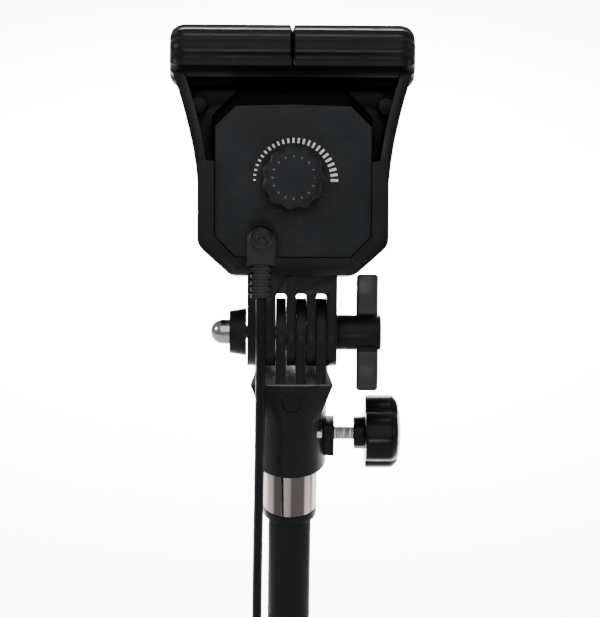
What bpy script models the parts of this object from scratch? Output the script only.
"""A compact spotlight: a clamshell head on a clamped socket, a sliding column and a folding table
tripod, with its 12 V lead wound beside the stand."""
import math

import bmesh
import bpy
from mathutils import Matrix, Vector

# Driving dimensions, in metres and radians
fit = 0.0003
overrun = 0.002
weld_distance = 0.00001

# Where the tilt pin stands, how the head leans and how far the feet reach
pin_height = 0.330
head_tilt = math.radians(29.0)
leg_count = 3
leg_reach = 0.150

# Feet and legs
foot_radius = 0.009
foot_pad_height = 0.005
foot_sleeve_radius = 0.0068
foot_sleeve_length = 0.016
foot_wall = 0.0015
leg_radius = 0.005
leg_wall = 0.001
leg_end_height = 0.0105
leg_end_inset = 0.003
knuckle_radius = 0.0055
knuckle_width = 0.0084
knuckle_length = 0.016
spigot_length = 0.012
leg_pin_radius = 0.0016
leg_pin_head_radius = 0.0030
leg_pin_head_height = 0.0012

# Hub
hub_radius = 0.0165
hub_bottom = 0.045
hub_top = 0.076
hub_floor = 0.006
hub_edge = 0.0012
pivot_radius = 0.0245
pivot_height = 0.060
cheek_thickness = 0.003
cheek_radius = 0.0060

# Lower tube, its collar and the bush that the column runs in
lower_tube_radius = 0.0105
lower_tube_wall = 0.0012
collar_radius = 0.0145
collar_top = 0.165
collar_height = 0.027
collar_lip = 0.0025
collar_edge = 0.0010
collar_screw_drop = 0.0195
collar_boss_radius = 0.0065
collar_boss_reach = 0.0205
column_bush_length = 0.012

# Column and its chrome sleeve, measured down from the tilt pin
column_radius = 0.008
column_wall = 0.001
column_top_drop = 0.0280
column_bottom = 0.105
guide_length = 0.008
sleeve_radius = 0.0100
sleeve_wall = 0.0008
sleeve_top_drop = 0.0255
sleeve_bottom_drop = 0.0742
lip_height = 0.0032

# Socket that turns on the sleeve, measured down from the tilt pin
socket_radius = 0.0129
socket_corner_x = 0.0151
socket_corner_y = 0.0130
socket_waist_x = 0.0128
socket_top_drop = 0.0149
socket_taper_drop = 0.0330
socket_bottom_drop = 0.0549
socket_roof = 0.0098
clamp_drop = 0.0428
boss_reach = 0.0160
boss_plate = 0.0032
boss_width = 0.0085
boss_height = 0.0133
boss_sink = 0.0013
boss_neck_radius = 0.00425
boss_corner = 0.0010
boss_skin = 0.0010
insert_radius = 0.0033

# Ears of the socket and prongs of the head's fork
ear_count = 3
ear_radius = 0.0124
ear_thickness = 0.0036
ear_gap = 0.0002
ear_pitch = 0.0073
first_ear_x = -0.00405
fork_left_x = -0.0163
fork_right_x = 0.0162
fork_radius = 0.0123
slot_top = 0.0140
slot_corner = 0.0012
pivot_bolt_radius = 0.0024

# Clamp screws and star knobs
clamp_screw_radius = 0.00235
screw_nut_flats = 0.0080
screw_nut_height = 0.0035
knob_radius = 0.0143
knob_valley_depth = 0.0030
knob_turn = math.radians(46.0)
knob_lobes = 3
knob_points_per_lobe = 12
knob_body = 0.0098
knob_dome = 0.0024
knob_dome_shares = (0.3, 0.6, 0.85)
knob_hub_radius = 0.0063
knob_hub_length = 0.0040
knob_stand_off = 0.0072
knob_socket_depth = 0.0100

# Hardware of the tilt joint
tilt_collar_radius = 0.0087
tilt_collar_end_radius = 0.0077
tilt_collar_length = 0.0062
acorn_flats = 0.0092
acorn_hex_height = 0.0035
acorn_dome_radius = 0.0045
acorn_dome_straight = 0.0024
acorn_bore_depth = 0.0070
lever_boss_radius = 0.0064
lever_boss_length = 0.0156
lever_blade_radius = 0.0212
lever_blade_width = 0.0079
lever_blade_thickness = 0.0038
lever_blade_inset = 0.0007
lever_sweep = 0.0022
lever_slim_share = 0.35
lever_edge = 0.0008
lever_bore_depth = 0.0120

# Head casing: x across, y forward from the pin, z up along the back
casing_rear = -0.0122
casing_front = 0.0355
casing_half_width = 0.0346
casing_bottom = 0.0205
casing_wall = 0.0040
casing_chamfer_x = 0.0123
casing_chamfer_z = 0.0110
casing_corner = 0.0052
bezel_rear = -0.0140
bezel_inset = 0.0002
bezel_edge = 0.0010
bezel_top = 0.0618
bezel_end_corner = 0.0030
flare_base = 0.0540
flare_clearance = 0.00038995
flare_rise = 0.0310
flare_power = 1.45
arm_top = 0.0985
arm_top_rear = 0.0240
seam_gap = 0.00004
brow_radius = 0.01235
brow_half_length = 0.0458
brow_y = 0.0310
brow_z = 0.10315
brow_wall = 0.0026
brow_notch = 0.0010
brow_flutes = 15
brow_flute_depth = 0.0006
brow_flute_turn = math.radians(3.2)
brow_end_shares = ((0.94, 1.0), (0.975, 0.93), (1.0, 0.70))
neck_screw_y = 0.0070
neck_screw_z = 0.0176
neck_screw_radius = 0.0015
neck_screw_head_radius = 0.0027
neck_screw_head_height = 0.0018
neck_screw_end_x = -0.0130
front_boss_radius = 0.0030
front_boss_length = 0.0120
front_boss_inset = 0.0057028333
front_boss_z = 0.0840
front_screw_radius = 0.0010
front_screw_length = 0.0080
front_screw_head_radius = 0.0019
front_screw_head_height = 0.0015

# Back panel and the lamp can that it closes
panel_half_width = 0.0282
panel_bottom = 0.0272
panel_top = 0.0816
panel_chamfer = 0.0074
panel_rear = -0.0134
panel_thickness = 0.0015
panel_arch = 0.0006
panel_rim_depth = 0.0030
panel_rim_wall = 0.0014
can_wall = 0.0018
can_front_half_width = 0.0300
can_front_bottom = 0.0250
can_front_top = 0.0906
can_front_chamfer = 0.0096

# Dimmer
dimmer_z = 0.0553
pot_radius = 0.0080
pot_depth = 0.0080
pot_bush_radius = 0.0034
pot_bush_reach = 0.0042
pot_nut_flats = 0.0100
pot_nut_height = 0.0018
shaft_radius = 0.0022
shaft_reach = 0.0100
dimmer_radius = 0.0119
dimmer_height = 0.0120
dimmer_stand_off = 0.0008
dimmer_lobes = 11
dimmer_lobe_depth = 0.0009
dimmer_edge = 0.0012
dimmer_skirt_radius = 0.0080
dimmer_skirt_depth = 0.0045

# Power socket and the plug in it
jack_x = -0.0114
jack_z = 0.0338
jack_radius = 0.0045
jack_depth = 0.0085
jack_barrel_radius = 0.0041
jack_bore_radius = 0.0031
jack_pin_radius = 0.0010
jack_ring_radius = 0.0054
jack_ring_height = 0.0008
plug_half_width = 0.0052
plug_top_z = 0.0378
plug_bottom_z = 0.0240
plug_depth = 0.0086
plug_barrel_radius = 0.00275
plug_barrel_length = 0.0085
plug_edge = 0.0008
relief_half_width = 0.00375
relief_half_depth = 0.0031
relief_core_share = 0.72
relief_end_z = 0.01235
relief_ribs = 5
relief_rib_share = 0.6

# Lamp inside the can
lamp_z = 0.0570
heat_sink_y = 0.0060
heat_sink_half_width = 0.0255
heat_sink_half_height = 0.0165
heat_sink_base = 0.0030
heat_sink_fins = 9
heat_sink_fin = 0.0014
heat_sink_fin_depth = 0.0068
led_board_radius = 0.0140
led_board_thickness = 0.0016
led_rows = 3
led_pitch = 0.0046
led_side = 0.0030
led_height = 0.0010
reflector_neck_radius = 0.0095
reflector_mouth_radius = 0.0258
reflector_wall = 0.0012
reflector_front = 0.0340
lens_radius = 0.0274
lens_rim = 0.0012
lens_dome = 0.0036
lens_dome_shares = (0.3, 0.6, 0.85)
front_thickness = 0.0035
lens_ring_inner_radius = 0.0265
lens_ring_radius = 0.0310
lens_ring_height = 0.0028
driver_half_width = 0.0200
driver_bottom = 0.0655
driver_top = 0.0790
driver_y = -0.0086
driver_thickness = 0.0014
driver_part_height = 0.0040
small_screw_radius = 0.0008
small_screw_head_radius = 0.0016
small_screw_head_height = 0.0010
small_screw_length = 0.0030
driver_screw_x = 0.0160
wire_radius = 0.0006
wire_x_share = 0.9

# The 12 V lead: its route is measured from the column's axis at the table
cord_radius = 0.0018
lead_route = (
    (-0.0115, -0.01113, 0.34994),
    (-0.0115, -0.0140, 0.3447),
    (-0.0115, -0.0176, 0.3370),
    (-0.0114, -0.0201, 0.3270),
    (-0.0115, -0.0214, 0.3150),
    (-0.0116, -0.0220, 0.3000),
    (-0.0118, -0.0221, 0.2700),
    (-0.0121, -0.0221, 0.2350),
    (-0.0121, -0.0221, 0.2000),
    (-0.0116, -0.0223, 0.1650),
    (-0.0107, -0.0231, 0.1300),
    (-0.0095, -0.0247, 0.0950),
    (-0.0092, -0.0270, 0.0620),
    (-0.0094, -0.0295, 0.0380),
    (-0.0108, -0.0325, 0.0190),
    (-0.0140, -0.0353, 0.0078),
    (-0.0180, -0.0366, 0.0036),
    (-0.0214, -0.0371, 0.0021),
    (-0.0250, -0.0371, 0.0021),
)
lead_points = 36
coil_centre = (-0.0285, -0.0640)
coil_outer_radius = 0.0269
coil_pitch = 0.00412
coil_layer_rise = 0.00412
coil_rest_height = 0.0021
coil_layer_turns = 3.54
coil_points_per_turn = 20
coil_start_angle = math.radians(90.0)
tail_route = (
    (0.0000, -0.0779, 0.0086),
    (0.0040, -0.0764, 0.0095),
    (0.0080, -0.0757, 0.0098),
)
tail_points = 7

# Mains adapter at the lead's far end
adapter_x = 0.0285
adapter_y = -0.0755
adapter_length = 0.0440
adapter_width = 0.0320
adapter_thickness = 0.0260
adapter_edge = 0.0030
adapter_relief_length = 0.0200
adapter_relief_height = 0.0098
adapter_relief_radius = 0.0042
adapter_relief_end_radius = 0.0026
blade_length = 0.0150
blade_width = 0.0063
blade_thickness = 0.0015
blade_spacing = 0.0127
blade_insert_depth = 0.0025
blade_insert_width = 0.0200
blade_insert_height = 0.0120

# Everything from an earlier run is taken out of the scene
for leftover in list(bpy.data.objects):
    bpy.data.objects.remove(leftover, do_unlink=True)
for leftover in list(bpy.data.collections):
    bpy.data.collections.remove(leftover)

parts = bpy.data.collections.new("studio_light")
cutters = bpy.data.collections.new("cutters")
bpy.context.scene.collection.children.link(parts)
bpy.context.scene.collection.children.link(cutters)


def finish(name, colour, roughness, metallic=0.0):
    """A plain material with the finish of one kind of surface."""
    material = bpy.data.materials.new(name)
    material.use_nodes = True
    shader = material.node_tree.nodes["Principled BSDF"]
    shader.inputs["Base Color"].default_value = (*colour, 1.0)
    shader.inputs["Roughness"].default_value = roughness
    shader.inputs["Metallic"].default_value = metallic
    return material


casing_black = finish("casing_black", (0.020, 0.021, 0.023), 0.32)
panel_black = finish("panel_black", (0.030, 0.032, 0.034), 0.62)
knob_black = finish("knob_black", (0.026, 0.027, 0.029), 0.42)
lever_grey = finish("lever_grey", (0.075, 0.082, 0.086), 0.45)
rubber_black = finish("rubber_black", (0.018, 0.018, 0.018), 0.80)
tube_black = finish("tube_black", (0.022, 0.023, 0.025), 0.28, 0.6)
chrome = finish("chrome", (0.80, 0.79, 0.78), 0.06, 1.0)
brass = finish("brass", (0.78, 0.58, 0.26), 0.30, 1.0)
zinc = finish("zinc", (0.62, 0.62, 0.60), 0.30, 1.0)
raw_aluminium = finish("raw_aluminium", (0.70, 0.71, 0.72), 0.38, 1.0)
board_green = finish("board_green", (0.02, 0.13, 0.06), 0.50)
part_grey = finish("part_grey", (0.12, 0.12, 0.13), 0.50)
lens_clear = finish("lens_clear", (0.85, 0.88, 0.90), 0.08)
wire_red = finish("wire_red", (0.45, 0.03, 0.03), 0.50)


def frame_at(name, place=(0, 0, 0), turn=(0, 0, 0), carrier=None):
    """An empty that carries one moving group, with its origin on the joint's axis."""
    frame = bpy.data.objects.new(name, None)
    frame.empty_display_size = knob_radius
    frame.location = place
    frame.rotation_euler = turn
    frame.parent = carrier
    parts.objects.link(frame)
    return frame


def put(name, mesh, carrier, material=None, place=(0, 0, 0), turn=(0, 0, 0)):
    """One named solid on its carrier; a solid without a material is a cutter or a guide."""
    solid = bpy.data.objects.new(name, mesh)
    solid.location = place
    solid.rotation_euler = turn
    solid.parent = carrier
    if material is None:
        solid.hide_render = True
        solid.display_type = "WIRE"
        cutters.objects.link(solid)
    else:
        solid.data.materials.append(material)
        parts.objects.link(solid)
    return solid


def boolean(target, operation, others):
    """Adds one exact Boolean modifier for each of the other solids."""
    for other in others:
        step = target.modifiers.new(operation.lower(), "BOOLEAN")
        step.operation = operation
        step.solver = "EXACT"
        step.object = other
    return target


def cut(target, *others):
    return boolean(target, "DIFFERENCE", others)


def fuse(target, *others):
    return boolean(target, "UNION", others)


def smooth(mesh, angle=math.radians(35.0)):
    """Shades round faces smooth and keeps edges above the angle sharp."""
    mesh.shade_smooth()
    mesh.set_sharp_from_angle(angle=angle)
    return mesh


def mesh_from(shape, name):
    """A mesh from a bmesh, which is freed."""
    mesh = bpy.data.meshes.new(name)
    shape.to_mesh(mesh)
    shape.free()
    return smooth(mesh)


def box(low, high):
    """A box between two opposite corners."""
    low, high = Vector(low), Vector(high)
    shape = bmesh.new()
    bmesh.ops.create_cube(shape, size=1.0)
    bmesh.ops.scale(shape, vec=high - low, verts=shape.verts)
    bmesh.ops.translate(shape, vec=(low + high) / 2, verts=shape.verts)
    return mesh_from(shape, "box")


along = {
    "X": Matrix(((0, 0, 1, 0), (1, 0, 0, 0), (0, 1, 0, 0), (0, 0, 0, 1))),
    "Y": Matrix(((0, 1, 0, 0), (0, 0, 1, 0), (1, 0, 0, 0), (0, 0, 0, 1))),
    "Z": Matrix.Identity(4),
}


def rod(radius, start, end, axis="Z", centre=(0, 0, 0), segments=20, end_radius=None):
    """A round or tapered rod from start to end along an axis; centre gives the other two places."""
    shape = bmesh.new()
    far = radius if end_radius is None else end_radius
    bmesh.ops.create_cone(shape, cap_ends=True, segments=segments, radius1=radius, radius2=far,
                          depth=end - start)
    bmesh.ops.translate(shape, vec=(0, 0, (start + end) / 2), verts=shape.verts)
    bmesh.ops.transform(shape, matrix=along[axis], verts=shape.verts)
    place = Vector(centre)
    place["XYZ".index(axis)] = 0
    bmesh.ops.translate(shape, vec=place, verts=shape.verts)
    return mesh_from(shape, "rod")


def hexagon(flats, start, end, axis="Z", centre=(0, 0, 0)):
    """A hexagonal bar, sized across its flats."""
    return rod(flats / 2 / math.cos(math.pi / 6), start, end, axis, centre, segments=6)


# An outline's own x and y lie along these two axes, and its thickness along the third
planes = {
    "XY": Matrix.Identity(4),
    "YZ": along["X"],
    "XZ": Matrix(((1, 0, 0, 0), (0, 0, -1, 0), (0, 1, 0, 0), (0, 0, 0, 1))),
}


def plate(outline, low, high, plane="XY", holes=(), edge=0.0):
    """A flat outline given thickness between low and high across its plane."""
    curve = bpy.data.curves.new("outline", "CURVE")
    curve.dimensions = "2D"
    curve.fill_mode = "BOTH"
    curve.extrude = (high - low) / 2 - edge
    curve.bevel_depth = edge
    curve.bevel_resolution = 0
    curve.offset = -edge
    for loop in (outline, *holes):
        spline = curve.splines.new("POLY")
        spline.points.add(len(loop) - 1)
        for point, (x, y) in zip(spline.points, loop):
            point.co = (x, y, 0, 1)
        spline.use_cyclic_u = True
    shape = mesh_of_curve(curve)
    middle = (high + low) / 2 * (-1 if plane == "XZ" else 1)
    bmesh.ops.translate(shape, vec=(0, 0, middle), verts=shape.verts)
    bmesh.ops.transform(shape, matrix=planes[plane], verts=shape.verts)
    return mesh_from(shape, "plate")


def mesh_of_curve(curve):
    """A curve's evaluated surface as a bmesh with its caps welded on; the curve is removed."""
    guide = bpy.data.objects.new("guide", curve)
    cutters.objects.link(guide)
    bpy.context.view_layer.update()
    view = bpy.context.evaluated_depsgraph_get()
    mesh = bpy.data.meshes.new_from_object(guide.evaluated_get(view))
    shape = bmesh.new()
    shape.from_mesh(mesh)
    bmesh.ops.remove_doubles(shape, verts=shape.verts, dist=weld_distance)
    bmesh.ops.recalc_face_normals(shape, faces=shape.faces)
    bpy.data.objects.remove(guide, do_unlink=True)
    bpy.data.meshes.remove(mesh)
    return shape


def turned(name, profile, carrier, material=None, axis="Z", place=(0, 0, 0), steps=26, ring=False):
    """A profile of radius and height, listed down its outer side, turned round an axis."""
    mesh = bpy.data.meshes.new(name)
    corners = [(radius, 0, height) for radius, height in profile]
    edges = [(index, index + 1) for index in range(len(corners) - 1)]
    if ring:
        edges.append((len(corners) - 1, 0))
    mesh.from_pydata(corners, edges, [])
    turn = {"X": (0, math.pi / 2, 0), "Y": (-math.pi / 2, 0, 0), "Z": (0, 0, 0)}[axis]
    solid = put(name, mesh, carrier, material, place, turn)
    lathe = solid.modifiers.new("lathe", "SCREW")
    lathe.axis = "Z"
    lathe.steps = steps
    lathe.render_steps = steps
    lathe.use_merge_vertices = True
    lathe.merge_threshold = weld_distance
    lathe.use_smooth_shade = True
    return solid


def tube_profile(inner, outer, low, high):
    """The closed profile of a plain tube."""
    return [(outer, high), (outer, low), (inner, low), (inner, high)]


def rounded(corners, steps=4):
    """An outline through (x, y, radius) corners, each rounded by its own radius."""
    outline = []
    for index, (x, y, radius) in enumerate(corners):
        here = Vector((x, y))
        if not radius:
            outline.append((x, y))
            continue
        before = (Vector(corners[index - 1][:2]) - here).normalized()
        after = (Vector(corners[(index + 1) % len(corners)][:2]) - here).normalized()
        half = before.angle(after) / 2
        centre = here + (before + after).normalized() * radius / math.sin(half)
        start = here + before * radius / math.tan(half) - centre
        end = here + after * radius / math.tan(half) - centre
        swing = start.angle_signed(end)
        first = math.atan2(start.y, start.x)
        for step in range(steps + 1):
            angle = first - swing * step / steps
            outline.append((centre.x + radius * math.cos(angle), centre.y + radius * math.sin(angle)))
    return outline


def arc(centre, radius, start, end, steps):
    """Points on an arc between two angles, both ends included."""
    angles = [start + (end - start) * step / steps for step in range(steps + 1)]
    return [(centre[0] + radius * math.cos(angle), centre[1] + radius * math.sin(angle))
            for angle in angles]


def circle(centre, radius, steps=32):
    return arc(centre, radius, 0, 2 * math.pi, steps)[:-1]


def wavy_circle(radius, depth, waves, points_per_wave, turn=0.0):
    """A circle whose rim dips by the depth between its waves."""
    outline = []
    for index in range(waves * points_per_wave):
        angle = 2 * math.pi * index / (waves * points_per_wave)
        reach = radius - depth * (1 - math.cos(waves * angle)) / 2
        outline.append((reach * math.cos(angle + turn), reach * math.sin(angle + turn)))
    return outline


def loft(sections):
    """A closed solid through rings of points, capped at both ends."""
    shape = bmesh.new()
    rings = [[shape.verts.new(point) for point in section] for section in sections]
    count = len(rings[0])
    for near, far in zip(rings, rings[1:]):
        for index in range(count):
            following = (index + 1) % count
            shape.faces.new((near[index], near[following], far[following], far[index]))
    shape.faces.new(rings[0])
    shape.faces.new(rings[-1])
    bmesh.ops.recalc_face_normals(shape, faces=shape.faces)
    return mesh_from(shape, "loft")


def smooth_route(route, count):
    """Evenly spaced points on a smooth curve through a route's own points."""
    points = [Vector(point) for point in route]
    points = [2 * points[0] - points[1], *points, 2 * points[-1] - points[-2]]
    dense = []
    substeps = 24
    for index in range(1, len(points) - 2):
        a, b, c, d = points[index - 1:index + 3]
        for step in range(substeps):
            t = step / substeps
            dense.append(0.5 * (2 * b + (c - a) * t + (2 * a - 5 * b + 4 * c - d) * t ** 2
                                + (3 * b - a - 3 * c + d) * t ** 3))
    dense.append(points[-2])
    lengths = [0.0]
    for near, far in zip(dense, dense[1:]):
        lengths.append(lengths[-1] + (far - near).length)
    spaced = []
    index = 0
    for step in range(count):
        target = lengths[-1] * step / (count - 1)
        while index < len(dense) - 2 and lengths[index + 1] < target:
            index += 1
        share = (target - lengths[index]) / (lengths[index + 1] - lengths[index])
        spaced.append(dense[index].lerp(dense[index + 1], min(share, 1.0)))
    return spaced


def tube_along(points, radius, resolution):
    """A round tube through the points, as a mesh with filled caps."""
    curve = bpy.data.curves.new("tube", "CURVE")
    curve.dimensions = "3D"
    curve.bevel_depth = radius
    curve.bevel_resolution = resolution
    curve.use_fill_caps = True
    spline = curve.splines.new("POLY")
    spline.points.add(len(points) - 1)
    for point, place in zip(spline.points, points):
        point.co = (*place, 1)
    return mesh_from(mesh_of_curve(curve), "tube")


def joined(meshes):
    """One mesh that holds several separate bodies."""
    shape = bmesh.new()
    for mesh in meshes:
        shape.from_mesh(mesh)
    return mesh_from(shape, "group")


# The frames of the moving groups, from the tripod up to the head
column_y = -leg_reach / 4
stand = frame_at("stand", (0, column_y, 0))
column_slide = frame_at("column_slide", (0, 0, pin_height), carrier=stand)
pan_axis = frame_at("pan_axis", carrier=column_slide)
tilt_axis = frame_at("tilt_axis", turn=(-head_tilt, 0, 0), carrier=pan_axis)
wing_axis = frame_at("wing_axis", carrier=tilt_axis)
dimmer_axis = frame_at("dimmer_axis", (0, 0, dimmer_z), carrier=tilt_axis)
clamp_axis = frame_at("clamp_axis", (0, 0, -clamp_drop), carrier=pan_axis)
collar_axis = frame_at("collar_axis", (0, 0, collar_top - collar_screw_drop), carrier=stand)

# Hub: a moulded body with a pair of cheeks for each leg and a bore for the lower tube
tube_bottom = hub_bottom + hub_floor
cheek_inner = knuckle_width / 2 + fit
cheek_outer = cheek_inner + cheek_thickness
leg_angles = [math.pi / 2 + 2 * math.pi * index / leg_count for index in range(leg_count)]
hub = turned("hub", [(0, hub_top), (hub_radius - hub_edge, hub_top), (hub_radius, hub_top - hub_edge),
                     (hub_radius, hub_bottom + hub_edge), (hub_radius - hub_edge, hub_bottom),
                     (0, hub_bottom)], stand, casing_black)
cheek_outline = [
    (hub_radius - overrun, pivot_height + cheek_radius),
    (hub_radius - overrun, pivot_height - cheek_radius),
    *arc((pivot_radius, pivot_height), cheek_radius, -math.pi / 2, math.pi / 2, 6)]
for index, angle in enumerate(leg_angles):
    for side in (-1, 1):
        faces = sorted((-side * cheek_inner, -side * cheek_outer))
        cheek = put(f"hub_cheek_{index}_{side}", plate(cheek_outline, *faces, "XZ"), stand,
                    turn=(0, 0, angle))
        fuse(hub, cheek)
    pin_hole = put(f"hub_pin_hole_{index}",
                   rod(leg_pin_radius + fit, -cheek_outer - overrun, cheek_outer + overrun, "Y",
                       (pivot_radius, 0, pivot_height), 16), stand, turn=(0, 0, angle))
    cut(hub, pin_hole)
cut(hub, put("hub_bore", rod(lower_tube_radius + fit, tube_bottom, hub_top + overrun, segments=32), stand))

tube_inner = lower_tube_radius - lower_tube_wall

# Legs: a knuckle between the cheeks, a tube on its spigot and a rubber foot
leg_end_radius = leg_reach - leg_end_inset
leg_run = leg_end_radius - pivot_radius
leg_drop = pivot_height - leg_end_height
leg_length = math.hypot(leg_run, leg_drop)
leg_slope = math.atan2(leg_drop, leg_run)
spigot_radius = leg_radius - leg_wall - fit
sleeve_start = leg_length - foot_sleeve_length
tube_end = leg_length - foot_wall
knuckle_outline = [
    *arc((0, 0), knuckle_radius, math.pi / 2, 3 * math.pi / 2, 8),
    (knuckle_length, -leg_radius), (knuckle_length, leg_radius)]
pin_end = cheek_outer + fit
for index, angle in enumerate(leg_angles):
    number = index + 1
    pivot = (pivot_radius * math.cos(angle), pivot_radius * math.sin(angle), pivot_height)
    hinge = frame_at(f"leg_hinge_{number}", pivot, (0, leg_slope, angle), stand)
    knuckle = put(f"knuckle_{number}", plate(knuckle_outline, -knuckle_width / 2, knuckle_width / 2, "XZ"),
                  hinge, casing_black)
    fuse(knuckle, put(f"spigot_{number}",
                      rod(spigot_radius, knuckle_length - overrun, knuckle_length + spigot_length, "X",
                          segments=20), hinge))
    cut(knuckle, put(f"knuckle_hole_{number}",
                     rod(leg_pin_radius + fit, -knuckle_width, knuckle_width, "Y", segments=16), hinge))
    turned(f"leg_{number}", tube_profile(leg_radius - leg_wall, leg_radius, knuckle_length + fit, tube_end),
           hinge, tube_black, "X", steps=24, ring=True)
    foot = turned(f"foot_{number}", [(0, leg_length + foot_wall), (foot_sleeve_radius, leg_length + foot_wall),
                                     (foot_sleeve_radius, sleeve_start), (0, sleeve_start)],
                  hinge, rubber_black, "X", steps=24)
    level = frame_at(f"foot_level_{number}", (leg_reach * math.cos(angle), leg_reach * math.sin(angle), 0),
                     (0, 0, angle), stand)
    fuse(foot, put(f"foot_pad_{number}", rod(foot_radius, 0, foot_pad_height), level))
    below = box((-foot_sleeve_length - foot_radius, -2 * foot_radius, -2 * foot_radius),
                (2 * foot_radius, 2 * foot_radius, 0))
    cut(foot, put(f"foot_bore_{number}",
                  rod(leg_radius + fit, sleeve_start - overrun, tube_end + fit, "X"), hinge),
        put(f"foot_floor_{number}", below, level))
    pin_frame = frame_at(f"leg_pin_frame_{number}", pivot, (0, 0, angle), stand)
    turned(f"leg_pin_{number}",
           [(0, pin_end + leg_pin_head_height), (leg_pin_head_radius, pin_end + leg_pin_head_height),
            (leg_pin_head_radius, pin_end), (leg_pin_radius, pin_end), (leg_pin_radius, -pin_end),
            (leg_pin_head_radius, -pin_end), (leg_pin_head_radius, -pin_end - leg_pin_head_height),
            (0, -pin_end - leg_pin_head_height)], pin_frame, zinc, "Y", steps=16)

# Lower tube with a hole for the clamp screw's tip
lower_top = collar_top - collar_lip - fit
lower_tube = turned("lower_tube", tube_profile(tube_inner, lower_tube_radius, tube_bottom + fit, lower_top),
                    stand, tube_black, ring=True)
tip_hole = clamp_screw_radius + fit
cut(lower_tube, put("lower_tube_hole", rod(tip_hole, 0, 2 * lower_tube_radius, "X", segments=16),
                    collar_axis))

# Bush in the tube's mouth, and the guide ring on the column's foot
bush_inner = column_radius + fit
bush_outer = tube_inner - fit
turned("column_bush", tube_profile(bush_inner, bush_outer, lower_top - column_bush_length, lower_top),
       stand, casing_black, ring=True)

# Collar over the tube's mouth, with a screw boss and a trapped nut
collar_bottom = collar_top - collar_height
collar = turned("column_collar", [
    (collar_radius - collar_edge, collar_top), (collar_radius, collar_top - collar_edge),
    (collar_radius, collar_bottom + collar_edge), (collar_radius - collar_edge, collar_bottom),
    (lower_tube_radius + fit, collar_bottom), (lower_tube_radius + fit, lower_top + fit),
    (bush_inner, lower_top + fit), (bush_inner, collar_top)], stand, casing_black, ring=True)
collar_skin = collar_radius - collar_edge
fuse(collar, put("collar_boss", rod(collar_boss_radius, collar_skin, collar_boss_reach, "X"), collar_axis))
nut_far_x = collar_boss_reach - fit
nut_pocket_x = nut_far_x - screw_nut_height
cut(collar, put("collar_screw_hole", rod(tip_hole, 0, collar_boss_reach + overrun, "X", segments=16),
                collar_axis),
    put("collar_nut_pocket", hexagon(screw_nut_flats + 2 * fit, nut_pocket_x - fit,
                                     collar_boss_reach + overrun, "X"), collar_axis))
collar_nut = put("collar_nut", hexagon(screw_nut_flats, nut_pocket_x, nut_far_x, "X"), collar_axis, zinc)
cut(collar_nut, put("collar_nut_hole", rod(tip_hole, nut_pocket_x - overrun, nut_far_x + overrun, "X",
                                           segments=16), collar_axis))


def clamp_knob(name, carrier, screw_name, tip_x, hub_x):
    """A lobed knob on a clamp screw: hub_x is the inner face of its hub, tip_x the screw's tip."""
    rear_x = hub_x + knob_hub_length
    front_x = rear_x + knob_body
    star = wavy_circle(knob_radius, knob_valley_depth, knob_lobes, knob_points_per_lobe, turn=knob_turn)
    knob = put(name, plate(star, rear_x,
                           front_x + knob_dome, "YZ", edge=collar_edge), carrier, knob_black)
    dome = turned(f"{name}_dome", [
        (0, front_x + knob_dome),
        *[(knob_radius * share, front_x + knob_dome * (1 - share ** 2)) for share in knob_dome_shares],
        (knob_radius + overrun, front_x - knob_dome / 3), (knob_radius + overrun, rear_x - overrun),
        (0, rear_x - overrun)], carrier, None, "X")
    boolean(knob, "INTERSECT", [dome])
    fuse(knob, put(f"{name}_hub", rod(knob_hub_radius, hub_x, rear_x + overrun, "X"), carrier))
    socket_end = hub_x + knob_socket_depth
    cut(knob, put(f"{name}_bore", rod(clamp_screw_radius + fit, hub_x - overrun, socket_end + fit, "X",
                                      segments=16), carrier))
    put(screw_name, rod(clamp_screw_radius, tip_x, socket_end, "X", segments=16), carrier, zinc)


clamp_knob("column_knob", collar_axis, "column_knob_screw", column_radius + fit,
           collar_boss_reach + knob_stand_off)

# Column: a tube with a guide ring, a plastic bush and the chrome sleeve that takes the socket
column_floor = column_bottom - pin_height
turned("column_tube", tube_profile(column_radius - column_wall, column_radius, column_floor,
                                   -column_top_drop), column_slide, tube_black, ring=True)
turned("column_guide", tube_profile(bush_inner, bush_outer, column_floor, column_floor + guide_length),
       column_slide, casing_black, ring=True)
sleeve_inner = sleeve_radius - sleeve_wall
lip_top = -sleeve_bottom_drop
turned("sleeve_bush", [
    (sleeve_inner - fit, -sleeve_top_drop), (sleeve_inner - fit, lip_top), (sleeve_radius, lip_top),
    (sleeve_radius, lip_top - lip_height), (bush_inner, lip_top - lip_height),
    (bush_inner, -sleeve_top_drop)], column_slide, casing_black, ring=True)
turned("chrome_sleeve", tube_profile(sleeve_inner, sleeve_radius, lip_top + fit, -sleeve_top_drop),
       column_slide, chrome, ring=True)

# Socket: a flat-faced square top that tapers into a round body, with three ears
corner_angle = math.atan2(socket_corner_y, socket_corner_x)
quarter_steps = 5
quarter = [corner_angle * step / quarter_steps for step in range(quarter_steps)]
quarter += [corner_angle + (math.pi / 2 - corner_angle) * step / quarter_steps
            for step in range(quarter_steps)]
ring_angles = [*quarter, math.pi / 2, *[math.pi - angle for angle in reversed(quarter)]]
ring_angles += [math.pi + angle for angle in ring_angles[1:-1]]


def socket_reach(angle):
    """How far the square top reaches at an angle: flat at front and back, waisted at the sides."""
    across, deep = abs(math.cos(angle)), abs(math.sin(angle))
    if math.atan2(deep, across) >= corner_angle:
        return socket_corner_y / deep
    lean = (socket_corner_x - socket_waist_x) / socket_corner_y
    return socket_waist_x / (across - lean * deep)


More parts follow.
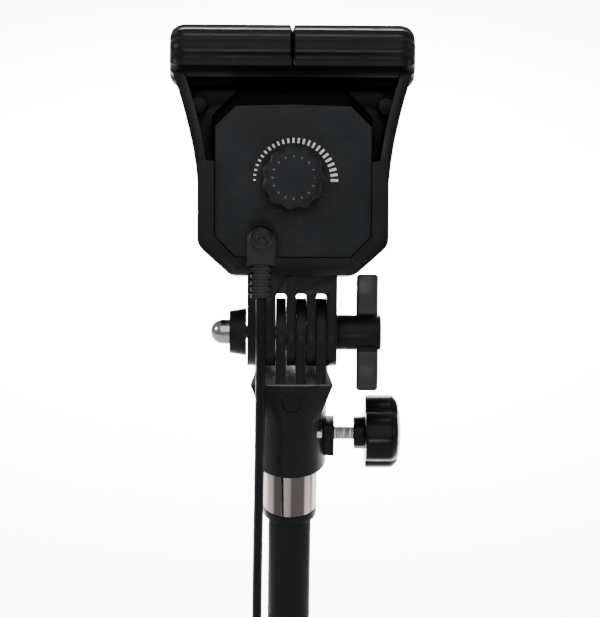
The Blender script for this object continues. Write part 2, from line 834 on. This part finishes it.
top_ring = [(socket_reach(angle) * math.cos(angle), socket_reach(angle) * math.sin(angle), -socket_top_drop)
            for angle in ring_angles]
round_rings = [[(socket_radius * math.cos(angle), socket_radius * math.sin(angle), -drop)
                for angle in ring_angles] for drop in (socket_taper_drop, socket_bottom_drop)]
socket = put("socket_body", loft([top_ring, *round_rings]), pan_axis, casing_black)
ear_xs = [first_ear_x + ear_pitch * index for index in range(ear_count)]
ear_outline = [*arc((0, 0), ear_radius, 0, math.pi, 14), (-ear_radius, -socket_top_drop - fit),
               (ear_radius, -socket_top_drop - fit)]
pin_bore = pivot_bolt_radius + fit
pin_circle = circle((0, 0), pin_bore, 20)
for index, middle in enumerate(ear_xs):
    fuse(socket, put(f"ear_{index}", plate(ear_outline, middle - ear_thickness / 2,
                                           middle + ear_thickness / 2, "YZ", [pin_circle]), pan_axis))
boss_outline = rounded([(side * boss_width / 2, end * boss_height / 2 - boss_sink, boss_corner)
                        for side, end in ((1, 1), (-1, 1), (-1, -1), (1, -1))], 2)
socket_bore = sleeve_radius + fit
insert_start = socket_bore + fit
insert_end = boss_reach - boss_skin
fuse(socket, put("boss_neck", rod(boss_neck_radius, socket_radius - overrun, boss_reach - boss_plate / 2,
                                  "X"), clamp_axis),
     put("boss_plate", plate(boss_outline, boss_reach - boss_plate, boss_reach, "YZ"), clamp_axis))
cut(socket, put("socket_bore", rod(socket_bore, -socket_bottom_drop - overrun, -socket_top_drop - socket_roof,
                           segments=32), pan_axis),
    put("socket_screw_hole", rod(tip_hole, 0, boss_reach + overrun, "X", segments=16), clamp_axis),
    put("socket_insert_pocket", rod(insert_radius + fit, 0, insert_end + fit, "X", segments=20), clamp_axis))
clamp_insert = put("clamp_insert", rod(insert_radius, insert_start, insert_end, "X", segments=20),
                   clamp_axis, brass)
cut(clamp_insert, put("clamp_insert_hole", rod(tip_hole, insert_start - overrun, insert_end + overrun, "X",
                                               segments=16), clamp_axis))
clamp_knob("clamp_knob", clamp_axis, "clamp_screw", sleeve_radius + fit, boss_reach + knob_stand_off)


# Head casing: a wall that follows the octagon's lower half and flares out under the brow's ends
flare_out = ((brow_half_length - flare_clearance - casing_half_width)
             / ((arm_top - flare_base) / flare_rise) ** flare_power)


def flare(height):
    """How far the side wall leans out at a height."""
    return flare_out * (max(height - flare_base, 0.0) / flare_rise) ** flare_power


front_boss_x = casing_half_width + flare(front_boss_z) - front_boss_inset


def casing_path(inset=0.0, top=arm_top, flare_steps=7):
    """The right half of the casing's outline from the seam at the bottom to the top."""
    half_width = casing_half_width - inset
    bottom = casing_bottom + inset
    path = rounded([(0, bottom, 0), (casing_half_width - casing_chamfer_x, bottom, casing_corner),
                    (half_width, casing_bottom + casing_chamfer_z, casing_corner),
                    (half_width, flare_base, 0)], 4)
    for step in range(1, flare_steps + 1):
        height = flare_base + (top - flare_base) * step / flare_steps
        path.append((half_width + flare(height), height))
    return path


def arm_rear(height):
    """Where the side wall's rear edge lies at a height."""
    share = max(height - bezel_top, 0.0) / (arm_top - bezel_top)
    return casing_rear + (arm_top_rear - casing_rear) * share


def mirrored(points, side):
    """Points with x on one side, listed so that an outline keeps its sense."""
    flipped = [(side * point[0], *point[1:]) for point in points]
    return flipped if side > 0 else flipped[::-1]


def brow_section(x, scale, per_flute=2):
    """One ring of the fluted brow at x, its ridges dipping to shallow flutes between."""
    ring = []
    for index in range(brow_flutes * per_flute):
        angle = 2 * math.pi * index / (brow_flutes * per_flute) + brow_flute_turn
        dip = brow_flute_depth * abs(math.sin(brow_flutes * (angle - brow_flute_turn) / 2))
        reach = brow_radius * scale - dip
        ring.append((x, brow_y + reach * math.cos(angle), brow_z + reach * math.sin(angle)))
    return ring


inner_top = casing_bottom + casing_wall / 2
neck_outline = [(fork_radius, inner_top), (-fork_radius, inner_top),
                *arc((0, 0), fork_radius, math.pi, 2 * math.pi, 16)]
low_neck_outline = [(fork_radius, casing_bottom - 2 * seam_gap),
                    (-fork_radius, casing_bottom - 2 * seam_gap),
                    *arc((0, 0), fork_radius, math.pi, 2 * math.pi, 16)]
neck_split_x = ear_xs[0] + ear_thickness / 2 + ear_gap + seam_gap


def casing_half(name, side):
    """One half of the casing: wall, bezel, brow and front screw boss, without its neck."""
    path = mirrored(casing_path(), side)
    path = [(side * seam_gap if x == 0 else x, z) for x, z in path]
    shape = bmesh.new()
    rows = [[shape.verts.new((x, arm_rear(z), z)) for x, z in path],
            [shape.verts.new((x, casing_front, z)) for x, z in path]]
    for index in range(len(path) - 1):
        shape.faces.new((rows[0][index], rows[1][index], rows[1][index + 1], rows[0][index + 1]))
    wall = put(name, mesh_from(shape, name), tilt_axis, casing_black)
    skin = wall.modifiers.new("skin", "SOLIDIFY")
    skin.thickness = casing_wall
    skin.offset = -1
    skin.use_even_offset = True
    outer = casing_path(bezel_inset, flare_base, 0)
    outer[0] = (seam_gap, outer[0][1])
    inner_width = panel_half_width + fit
    inner_bottom = panel_bottom - fit
    outer[-1:] = arc((casing_half_width - bezel_inset - bezel_end_corner, bezel_top - bezel_end_corner),
                     bezel_end_corner, 0, math.pi / 2, 4)
    inner = [(inner_width, bezel_top), (inner_width, panel_bottom + panel_chamfer),
             (inner_width - panel_chamfer, inner_bottom), (seam_gap, inner_bottom)]
    bezel = put(f"{name}_bezel", plate(mirrored([*outer, *inner], side), bezel_rear,
                                       panel_rear + panel_thickness, "XZ"), tilt_axis)
    stations = [(seam_gap, 1 - brow_notch / brow_radius), (brow_notch, 1.0)]
    for end_share, size_share in brow_end_shares:
        stations.append((brow_half_length * end_share, size_share))
    brow = put(f"{name}_brow", loft([brow_section(side * x, scale) for x, scale in stations]), tilt_axis)
    ends = sorted((-side * overrun, side * (brow_half_length - brow_wall - overrun)))
    hollow = put(f"{name}_brow_hollow", rod(brow_radius - brow_wall, *ends, "X", (0, brow_y, brow_z)),
                 tilt_axis)
    boss = put(f"{name}_front_boss",
               rod(front_boss_radius, casing_front - front_boss_length, casing_front, "Y",
                   (side * front_boss_x, 0, front_boss_z), 16), tilt_axis)
    rib_reach = side * (casing_half_width + flare(front_boss_z) - casing_wall / 2)
    rib = put(f"{name}_boss_rib",
              box((min(side * front_boss_x, rib_reach), casing_front - front_boss_length + fit,
                   front_boss_z - front_boss_radius / 2),
                  (max(side * front_boss_x, rib_reach), casing_front - fit,
                   front_boss_z + front_boss_radius / 2)), tilt_axis)
    boss_hole = put(f"{name}_boss_hole",
                    rod(front_screw_radius + fit, casing_front - front_screw_length,
                        casing_front + overrun, "Y", (side * front_boss_x, 0, front_boss_z), 12), tilt_axis)
    fuse(wall, bezel, boss, rib, brow)
    return cut(wall, hollow, boss_hole)


housing_left = casing_half("housing_left", -1)
housing_right = casing_half("housing_right", 1)
fuse(housing_left, put("neck_left", plate(neck_outline, fork_left_x, neck_split_x - 2 * seam_gap, "YZ"), tilt_axis))
fuse(housing_right,
     put("neck_right", plate(neck_outline, seam_gap, fork_right_x, "YZ"), tilt_axis),
     put("neck_right_lap", plate(low_neck_outline, neck_split_x, seam_gap + overrun / 2, "YZ"), tilt_axis))
slots = []
for index, middle in enumerate(ear_xs):
    left = middle - ear_thickness / 2 - ear_gap
    right = middle + ear_thickness / 2 + ear_gap
    slot_outline = rounded([(left, -fork_radius - overrun, 0), (right, -fork_radius - overrun, 0),
                            (right, slot_top, slot_corner), (left, slot_top, slot_corner)], 3)
    slots.append(put(f"slot_{index}", plate(slot_outline, -fork_radius - overrun, fork_radius + overrun,
                                            "XZ"), tilt_axis))
fork_bore = put("fork_bore", rod(pin_bore, fork_left_x - overrun, fork_right_x + overrun, "X"), tilt_axis)
cut(housing_left, slots[0], fork_bore)
cut(housing_right, slots[1], slots[2], fork_bore)
head_seat_x = fork_right_x - neck_screw_head_height - fit
for side in (-1, 1):
    centre = (0, side * neck_screw_y, neck_screw_z)
    shank_hole = put(f"neck_screw_hole_{side}",
                     rod(neck_screw_radius + fit, neck_screw_end_x - fit, fork_right_x, "X", centre, 16),
                     tilt_axis)
    head_hole = put(f"neck_screw_seat_{side}",
                    rod(neck_screw_head_radius + fit, head_seat_x, fork_right_x + overrun, "X", centre, 16),
                    tilt_axis)
    cut(housing_left, shank_hole)
    cut(housing_right, shank_hole, head_hole)
    turned(f"neck_screw_{(side + 3) // 2}", [
        (0, fork_right_x), (neck_screw_head_radius, fork_right_x),
        (neck_screw_head_radius, head_seat_x + fit), (neck_screw_radius, head_seat_x + fit),
        (neck_screw_radius, neck_screw_end_x), (0, neck_screw_end_x)], tilt_axis, zinc, "X", centre, 16)


def octagon(half_width, bottom, top, chamfer, arch=0.0):
    """An upright octagon with equal corner cuts and, if asked, a slightly raised middle at the top."""
    side = [(half_width, bottom + chamfer), (half_width, top - chamfer), (half_width - chamfer, top)]
    crown = [(0, top + arch)]
    lower = (half_width - chamfer, bottom)
    left = [(-x, z) for x, z in reversed(side)]
    return [lower, *side, *crown, *left, (-lower[0], lower[1])]


# Lamp can: an eight-sided tube that widens towards the front
panel_front = panel_rear + panel_thickness
can_rear = panel_front + fit
rear_ring = octagon(panel_half_width, panel_bottom, panel_top, panel_chamfer)
front_ring = octagon(can_front_half_width, can_front_bottom, can_front_top, can_front_chamfer)
can_front = casing_front - can_wall / 3
can_shape = bmesh.new()
can_rows = [[can_shape.verts.new((x, can_rear, z)) for x, z in rear_ring],
            [can_shape.verts.new((x, can_front, z)) for x, z in front_ring]]
for index in range(len(rear_ring)):
    following = (index + 1) % len(rear_ring)
    can_shape.faces.new((can_rows[0][index], can_rows[0][following], can_rows[1][following],
                         can_rows[1][index]))
bmesh.ops.recalc_face_normals(can_shape, faces=can_shape.faces)
lamp_can = put("lamp_can", mesh_from(can_shape, "lamp_can"), tilt_axis, casing_black)
can_skin = lamp_can.modifiers.new("skin", "SOLIDIFY")
can_skin.thickness = can_wall
can_skin.offset = -1
can_skin.use_even_offset = True

# Back panel with a rim that plugs into the can, and two pillars that the driver board rests on
panel_outline = octagon(panel_half_width, panel_bottom, panel_top, panel_chamfer, panel_arch)
back_panel = put("back_panel", plate(panel_outline, panel_rear, panel_front, "XZ"), tilt_axis, panel_black)
rim_inset = can_wall + 2 * fit
rim_outer = octagon(panel_half_width - rim_inset, panel_bottom + rim_inset, panel_top - rim_inset,
                    panel_chamfer)
rim_cut = rim_inset + panel_rim_wall
rim_inner = octagon(panel_half_width - rim_cut, panel_bottom + rim_cut, panel_top - rim_cut, panel_chamfer)
fuse(back_panel, put("panel_rim", plate(rim_outer, panel_front - fit, panel_front + panel_rim_depth, "XZ",
                                        [rim_inner]), tilt_axis))
cut(back_panel, put("rim_notch", box((jack_x - jack_radius - fit, panel_front, panel_bottom),
                                     (jack_x + jack_radius + fit, panel_front + panel_rim_depth + overrun,
                                      jack_z)), tilt_axis))
driver_z = (driver_bottom + driver_top) / 2
board_screw_place = (driver_screw_x, 0, driver_z)
for side in (-1, 1):
    fuse(back_panel, put(f"board_pillar_{side}",
                         rod(small_screw_head_radius, panel_front - fit, driver_y - fit, "Y",
                             (side * driver_screw_x, 0, driver_z), 12), tilt_axis))
cut(back_panel, put("board_pillar_hole",
                    rod(small_screw_radius + fit / 2, panel_front + fit, driver_y, "Y",
                        board_screw_place, 12), tilt_axis))
cut(back_panel,
    put("pot_hole", rod(pot_bush_radius + fit, panel_rear - overrun, panel_front + overrun, "Y",
                        (0, 0, dimmer_z), 20), tilt_axis),
    put("jack_hole", rod(jack_barrel_radius + fit, panel_rear - overrun, panel_front + overrun, "Y",
                         (jack_x, 0, jack_z), 20), tilt_axis))

# Dimmer: a potentiometer behind the panel, its nut, its shaft and the fluted knob
pot_rear = panel_rear - pot_bush_reach
pot_face = panel_front + fit
pot = turned("dimmer_pot", [
    (0, pot_face + pot_depth), (pot_radius, pot_face + pot_depth), (pot_radius, pot_face),
    (pot_bush_radius, pot_face), (pot_bush_radius, pot_rear), (0, pot_rear)],
    dimmer_axis, part_grey, "Y", steps=24)
shaft_hole_end = pot_face + pot_depth / 2
cut(pot, put("pot_bore", rod(shaft_radius + fit, pot_rear - overrun, shaft_hole_end, "Y", segments=20),
             dimmer_axis))
pot_nut_rear = panel_rear - fit - pot_nut_height
pot_nut = put("pot_nut", hexagon(pot_nut_flats, pot_nut_rear, panel_rear - fit, "Y"), dimmer_axis, zinc)
cut(pot_nut, put("pot_nut_hole", rod(pot_bush_radius + fit, pot_nut_rear - overrun, panel_front, "Y",
                                     segments=20), dimmer_axis))
knob_front = panel_rear - dimmer_stand_off
knob_face = knob_front - dimmer_height
shaft_end = panel_rear - shaft_reach
put("dimmer_shaft", rod(shaft_radius, shaft_end, shaft_hole_end - fit, "Y", segments=20), dimmer_axis,
    raw_aluminium)
dimmer_knob = put("dimmer_knob", plate(wavy_circle(dimmer_radius, dimmer_lobe_depth, dimmer_lobes, 4),
                                       knob_face, knob_front, "XZ", edge=dimmer_edge),
                  dimmer_axis, knob_black)
cut(dimmer_knob,
    put("dimmer_skirt", rod(dimmer_skirt_radius, knob_front - dimmer_skirt_depth, knob_front + overrun,
                            "Y"), dimmer_axis),
    put("dimmer_bore", rod(shaft_radius + fit, shaft_end - fit, knob_front, "Y", segments=20), dimmer_axis))

# Power socket: a flanged jack behind the panel with its outer ring
jack_outer = panel_rear - jack_ring_height - fit
jack_face = panel_front + fit
jack = turned("dc_socket", [
    (0, jack_face + jack_depth), (jack_radius, jack_face + jack_depth), (jack_radius, jack_face),
    (jack_barrel_radius, jack_face), (jack_barrel_radius, jack_outer), (0, jack_outer)],
    tilt_axis, part_grey, "Y", (jack_x, 0, jack_z), 24)
jack_floor = jack_outer + plug_barrel_length
jack_tip = jack_outer + overrun / 2
cut(jack, turned("jack_bore", [
    (0, jack_tip), (jack_pin_radius, jack_tip), (jack_pin_radius, jack_floor), (jack_bore_radius, jack_floor),
    (jack_bore_radius, jack_outer - overrun), (0, jack_outer - overrun)],
    tilt_axis, None, "Y", (jack_x, 0, jack_z), 20))
turned("dc_ring", tube_profile(jack_barrel_radius + fit, jack_ring_radius, panel_rear - fit
                               - jack_ring_height, panel_rear - fit),
       tilt_axis, casing_black, "Y", (jack_x, 0, jack_z), 24, ring=True)

# Right-angle plug with its segmented strain relief
plug_front = jack_outer - 2 * fit
plug_rear = plug_front - plug_depth
plug_outline = [(jack_x - plug_half_width, plug_bottom_z), (jack_x + plug_half_width, plug_bottom_z),
                *arc((jack_x, plug_top_z - plug_half_width), plug_half_width, 0, math.pi, 12)]
dc_plug = put("dc_plug", plate(plug_outline, plug_rear, plug_front, "XZ", edge=plug_edge), tilt_axis,
              rubber_black)
relief_y = (plug_front + plug_rear) / 2
core_width = relief_half_width * relief_core_share
core_depth = relief_half_depth * relief_core_share
fuse(dc_plug, put("relief_core", box((jack_x - core_width, relief_y - core_depth, relief_end_z),
                                     (jack_x + core_width, relief_y + core_depth,
                                      plug_bottom_z + overrun)), tilt_axis))
rib_pitch = (plug_bottom_z - relief_end_z) / relief_ribs
for index in range(relief_ribs):
    low = relief_end_z + rib_pitch * index
    rib_outline = rounded([(jack_x + side * relief_half_width, relief_y + end * relief_half_depth, plug_edge)
                           for side, end in ((1, 1), (-1, 1), (-1, -1), (1, -1))], 2)
    fuse(dc_plug, put(f"relief_rib_{index}", plate(rib_outline, low, low + rib_pitch * relief_rib_share),
                      tilt_axis))
barrel_end = plug_front + plug_barrel_length - 2 * fit
fuse(dc_plug, put("plug_barrel", rod(plug_barrel_radius, plug_front - overrun, barrel_end, "Y",
                                     (jack_x, 0, jack_z), 20), tilt_axis))
cut(dc_plug, put("plug_bore", rod(jack_pin_radius + fit, plug_front, barrel_end + overrun, "Y",
                                  (jack_x, 0, jack_z), 16), tilt_axis))

# Heat sink with its fins towards the back panel
base_front = heat_sink_y + heat_sink_base
heat_sink = put("heat_sink", box((-heat_sink_half_width, heat_sink_y, lamp_z - heat_sink_half_height),
                                 (heat_sink_half_width, base_front, lamp_z + heat_sink_half_height)),
                tilt_axis, raw_aluminium)
fin_pitch = (2 * heat_sink_half_width - heat_sink_fin) / (heat_sink_fins - 1)
fins = []
for index in range(heat_sink_fins):
    left = -heat_sink_half_width + fin_pitch * index
    fins.append(box((left, heat_sink_y - heat_sink_fin_depth, lamp_z - heat_sink_half_height),
                    (left + heat_sink_fin, heat_sink_y + heat_sink_base / 2,
                     lamp_z + heat_sink_half_height)))
fuse(heat_sink, put("heat_sink_fin_set", joined(fins), tilt_axis))

# LED board, its emitters and the reflector
board_rear = base_front + fit
board_front = board_rear + led_board_thickness
led_board = put("led_board", rod(led_board_radius, board_rear, board_front, "Y", (0, 0, lamp_z), 32),
                tilt_axis, raw_aluminium)
emitters = []
for row in range(led_rows):
    for column in range(led_rows):
        x = led_pitch * (column - (led_rows - 1) / 2)
        z = lamp_z + led_pitch * (row - (led_rows - 1) / 2)
        emitters.append(box((x - led_side / 2, board_rear + fit, z - led_side / 2),
                            (x + led_side / 2, board_front + led_height, z + led_side / 2)))
fuse(led_board, put("led_emitter_set", joined(emitters), tilt_axis))
reflector_rear = board_front + fit
turned("reflector", [
    (reflector_neck_radius, reflector_front), (reflector_mouth_radius + reflector_wall, reflector_front),
    (reflector_neck_radius + reflector_wall, reflector_rear), (reflector_neck_radius, reflector_rear),
    (reflector_mouth_radius, reflector_front)][1:], tilt_axis, chrome, "Y", (0, 0, lamp_z), 32, ring=True)

# Lens, front frame and the ring that keeps the lens in
front_rear = casing_front + fit
front_face = front_rear + front_thickness
lens_rear = reflector_front + fit
lens_flat_radius = lens_radius - lens_rim
lens_profile = [(0, front_face + lens_dome)]
lens_profile += [(lens_flat_radius * share, front_face + lens_dome * (1 - share ** 2))
                 for share in lens_dome_shares]
lens_profile += [(lens_flat_radius, front_face), (lens_radius, front_face), (lens_radius, lens_rear),
                 (0, lens_rear)]
turned("lens", lens_profile, tilt_axis, lens_clear, "Y", (0, 0, lamp_z), 32)
brow_clear_z = brow_z - math.sqrt(brow_radius ** 2 - (front_rear - brow_y) ** 2) - 2 * fit
right_edge = casing_path(top=brow_clear_z, flare_steps=4)[1:]
front_outline = [*right_edge, *[(-x, z) for x, z in reversed(right_edge)]]
front_frame = put("front_frame", plate(front_outline, front_rear, front_face, "XZ",
                                       [circle((0, lamp_z), lens_radius + fit, 32)]), tilt_axis, casing_black)
for side in (-1, 1):
    centre = (side * front_boss_x, 0, front_boss_z)
    cut(front_frame,
        put(f"front_screw_hole_{side}", rod(front_screw_radius + fit, front_rear - overrun,
                                            front_face + overrun, "Y", centre, 12), tilt_axis),
        put(f"front_screw_seat_{side}", rod(front_screw_head_radius + fit,
                                            front_face - front_screw_head_height, front_face + overrun, "Y",
                                            centre, 16), tilt_axis))
    seat = front_face - front_screw_head_height + fit
    tip = casing_front - front_screw_length + fit
    turned(f"front_screw_{(side + 3) // 2}", [
        (0, front_face), (front_screw_head_radius, front_face), (front_screw_head_radius, seat),
        (front_screw_radius, seat), (front_screw_radius, tip), (0, tip)], tilt_axis, zinc, "Y", centre, 12)
turned("lens_ring", tube_profile(lens_ring_inner_radius, lens_ring_radius, front_face + fit,
                                 front_face + fit + lens_ring_height),
       tilt_axis, casing_black, "Y", (0, 0, lamp_z), 32, ring=True)

# Driver board with its parts, held to its pillar by one small screw
driver_front = driver_y + driver_thickness
driver_board = put("driver_board", box((-driver_half_width, driver_y, driver_bottom),
                                       (driver_half_width, driver_front, driver_top)), tilt_axis, board_green)
part_high = driver_front + driver_part_height
driver_span = driver_top - driver_bottom
choke_x = -driver_half_width / 3
fuse(driver_board, put("driver_part_set", joined([
    rod(driver_span / 3, driver_y + fit, part_high, "Y", (choke_x, 0, driver_z), 20),
    rod(driver_span / 4, driver_y + fit, part_high, "Y", (-choke_x, 0, driver_z), 16),
    box((-driver_half_width + driver_thickness, driver_y + fit, driver_bottom + driver_thickness),
        (choke_x - driver_span / 3 - driver_thickness, part_high - driver_thickness, driver_z)),
]), tilt_axis))
cut(driver_board, put("driver_hole", rod(small_screw_radius + fit / 2, driver_y - overrun, driver_front
                                         + overrun, "Y", board_screw_place, 12), tilt_axis))
screw_seat = driver_front + fit
turned("board_screw", [
    (0, screw_seat + small_screw_head_height), (small_screw_head_radius, screw_seat + small_screw_head_height),
    (small_screw_head_radius, screw_seat), (small_screw_radius, screw_seat),
    (small_screw_radius, screw_seat - small_screw_length), (0, screw_seat - small_screw_length)],
    tilt_axis, zinc, "Y", board_screw_place, 12)

# Twin wire from the driver board over the heat sink to the LED board
wire_top = lamp_z + heat_sink_half_height + 4 * wire_radius
wires = []
for side in (-1, 1):
    x = side * wire_radius * wire_x_share
    route = [(x, driver_front + fit + wire_radius, driver_top - 5 * wire_radius),
             (x, driver_front + fit + wire_radius, wire_top - 3 * wire_radius),
             (x, driver_front + fit + 4 * wire_radius, wire_top),
             (x, board_front + fit - 2 * wire_radius, wire_top),
             (x, board_front + fit + wire_radius, wire_top - 3 * wire_radius),
             (x, board_front + fit + wire_radius, lamp_z + led_board_radius - 3 * wire_radius)]
    wires.append(tube_along(route, wire_radius, 1))
wire_pair = put("wire_pair", wires[0], tilt_axis, wire_red)
fuse(wire_pair, put("second_wire", wires[1], tilt_axis))

# Tilt hardware: the bolt with its wing lever, the tapered collar and the acorn nut
collar_near = fork_left_x - fit
collar_far = collar_near - tilt_collar_length
tilt_collar = put("tilt_collar", rod(tilt_collar_end_radius, collar_far, collar_near, "X", segments=32,
                                     end_radius=tilt_collar_radius), tilt_axis, casing_black)
pocket_depth = acorn_hex_height + fit
cut(tilt_collar,
    put("tilt_collar_bore", rod(pin_bore, collar_far - overrun, collar_near + overrun, "X", segments=20),
        tilt_axis),
    put("tilt_collar_pocket", hexagon(acorn_flats + 2 * fit, collar_far - overrun,
                                      collar_far + pocket_depth, "X"), tilt_axis))
acorn_near = collar_far + acorn_hex_height
dome_start = collar_far - acorn_dome_straight
acorn = put("acorn_nut", hexagon(acorn_flats, collar_far, acorn_near, "X"), tilt_axis, chrome)
dome_arc = [(acorn_dome_radius * math.sin(math.pi / 2 * step / 5),
             acorn_dome_straight + acorn_dome_radius * math.cos(math.pi / 2 * step / 5))
            for step in range(6)]
acorn_dome = turned("acorn_dome", [(0, dome_arc[0][1]), *dome_arc[1:], (acorn_dome_radius, -overrun / 2),
                                   (0, -overrun / 2)], tilt_axis, None, "X", (collar_far, 0, 0), 24)
acorn_dome.rotation_euler = (0, -math.pi / 2, 0)
fuse(acorn, acorn_dome)
bolt_left = acorn_near - acorn_bore_depth
cut(acorn, put("acorn_bore", rod(pin_bore, bolt_left - fit, acorn_near + overrun, "X", segments=20),
               tilt_axis))
lever_near = fork_right_x + fit
lever_far = lever_near + lever_boss_length
blade_far = lever_far - lever_blade_inset
blade_near = blade_far - lever_blade_width
lever_steps = 12
left_edge, right_edge_points = [], []
for step in range(lever_steps + 1):
    share = -1 + 2 * step / lever_steps
    z = share * lever_blade_radius
    bend = lever_sweep * math.sin(math.pi * share)
    slim = lever_blade_thickness / 2 * (1 - lever_slim_share * share ** 2)
    left_edge.append((bend - slim, z))
    right_edge_points.append((bend + slim, z))
wing_lever = put("wing_lever", plate([*right_edge_points, *reversed(left_edge)], blade_near, blade_far,
                                     "YZ", edge=lever_edge), wing_axis, lever_grey)
fuse(wing_lever, put("lever_boss", rod(lever_boss_radius, lever_near, lever_far + fit, "X"), wing_axis))
bolt_right = lever_near + lever_bore_depth
cut(wing_lever, put("lever_bore", rod(pin_bore, lever_near - overrun, bolt_right + fit, "X", segments=20),
                    wing_axis))
put("pivot_bolt", rod(pivot_bolt_radius, bolt_left, bolt_right, "X", segments=20), wing_axis, zinc)

# Lead: the free stretch from the plug to the table, then the wound turns
lead_line = [*smooth_route(lead_route[:-1], lead_points), Vector(lead_route[-1])]
put("cord_lead", tube_along(lead_line, cord_radius, 1), stand, rubber_black)


def coil_points():
    """Turns that spiral in along the table, climb a layer and spiral out again."""
    turns = 2 * coil_layer_turns + 0.5
    count = round(turns * coil_points_per_turn)
    half = turns / 2
    inner = coil_outer_radius - coil_pitch * half
    points = []
    for index in range(count + 1):
        turn = index / coil_points_per_turn - half
        reach = inner + coil_pitch * abs(turn)
        angle = coil_start_angle + 2 * math.pi * (turn + half)
        climb = min(max(turn + 0.25, 0.0) * 2, 1.0)
        points.append(Vector((coil_centre[0] + reach * math.cos(angle),
                              coil_centre[1] + reach * math.sin(angle),
                              coil_rest_height + coil_layer_rise * climb)))
    return points


loops = coil_points()
lead_end = Vector(lead_route[-1])
run_in = Vector((loops[0].x, loops[0].y, loops[0].z))
approach = (run_in - lead_end).normalized()
start_of_coil = lead_end + approach * fit
tail = smooth_route([loops[-2], loops[-1], *tail_route], tail_points)
coil_line = [start_of_coil, *loops[:-1], *tail[1:]]
put("cord_coil", tube_along(coil_line, cord_radius, 1), stand, rubber_black)
least = min((near - far).length for index, near in enumerate(loops)
            for far in loops[index + coil_points_per_turn // 2:])
print(f"least gap between the coil's turns: {(least - 2 * cord_radius) * 1000:.2f} mm")


def run_length(points):
    """The length of a line of points."""
    return sum((far - near).length for near, far in zip(points, points[1:]))


print(f"lead: {run_length(lead_line):.3f} m free, {run_length(coil_line):.3f} m wound")

# Mains adapter, lying on its side, with an insert that holds its two blades
relief_start = adapter_x - adapter_relief_length
turned("adapter_relief", [
    (0, adapter_relief_length - fit), (adapter_relief_radius, adapter_relief_length - fit),
    (adapter_relief_end_radius, fit), (0, fit)], stand, rubber_black, "X",
    (relief_start, tail_route[-1][1], adapter_relief_height), 20)
adapter_outline = rounded([(adapter_x + shift, adapter_y + side * adapter_width / 2, adapter_edge)
                           for shift, side in ((0, -1), (adapter_length, -1), (adapter_length, 1), (0, 1))],
                          3)
adapter = put("power_adapter", plate(adapter_outline, 0, adapter_thickness, edge=adapter_edge / 3), stand,
              casing_black)
adapter_end = adapter_x + adapter_length
blade_z = adapter_thickness / 2
insert_x = adapter_end - blade_insert_depth
insert_low = Vector((insert_x, adapter_y - blade_insert_width / 2, blade_z - blade_insert_height / 2))
insert_high = Vector((adapter_end, adapter_y + blade_insert_width / 2, blade_z + blade_insert_height / 2))
insert = put("blade_insert", box(insert_low, insert_high), stand, zinc)
pocket_low = insert_low - Vector((fit, fit, fit))
pocket_high = insert_high + Vector((overrun, fit, fit))
cut(adapter, put("insert_pocket", box(pocket_low, pocket_high), stand))
for side in (-1, 1):
    middle = adapter_y + side * blade_spacing / 2
    fuse(insert, put(f"blade_{side}", box(
        (adapter_end - fit, middle - blade_thickness / 2, blade_z - blade_width / 2),
        (adapter_end + blade_length, middle + blade_thickness / 2, blade_z + blade_width / 2)), stand))
bpy.context.view_layer.update()
